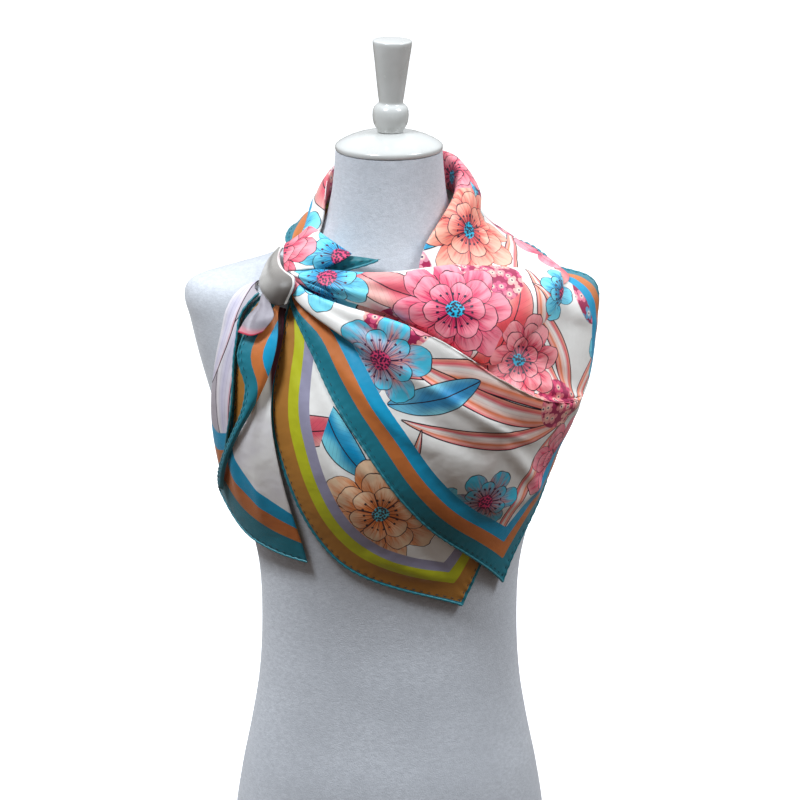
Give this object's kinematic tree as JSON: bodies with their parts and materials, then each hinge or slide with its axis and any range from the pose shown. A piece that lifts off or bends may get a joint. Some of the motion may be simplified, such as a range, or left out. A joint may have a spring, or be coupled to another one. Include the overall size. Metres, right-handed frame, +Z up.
{
  "type": "silk square scarf on a dress form",
  "caption": "Square silk scarf folded on its diagonal, draped over a limbless dress form and knotted on one shoulder.",
  "frame": {"origin": "centre of the dress form's flat base, where it rests", "axes": "+Z up the form to its neck, -Y to the front of the form, +X to its left side, away from the knot"},
  "size_m": [0.3969, 0.2553, 0.828],
  "materials": {
    "jersey": "fine matte knit cover",
    "white_gloss": "white gloss lacquer on turned wood",
    "silk": "printed silk twill with a soft sheen",
    "ivory_silk": "ivory silk twill with a soft sheen",
    "teal_silk": "dark teal silk border with a soft sheen"
  },
  "bodies": {
    "root": {"form_torso": "jersey", "neck_cap": "white_gloss", "neck_finial": "white_gloss", "under_panel": "silk", "main_panel": "silk", "neck_wrap": "silk", "cowl": "silk", "knot_wrap": "ivory_silk", "knot_end": "silk", "knot_tip": "teal_silk", "tail_back": "silk", "tail_under": "silk", "tail_front": "silk", "tail_fold": "silk", "tail_lobe": "silk"}
  },
  "joints": []
}
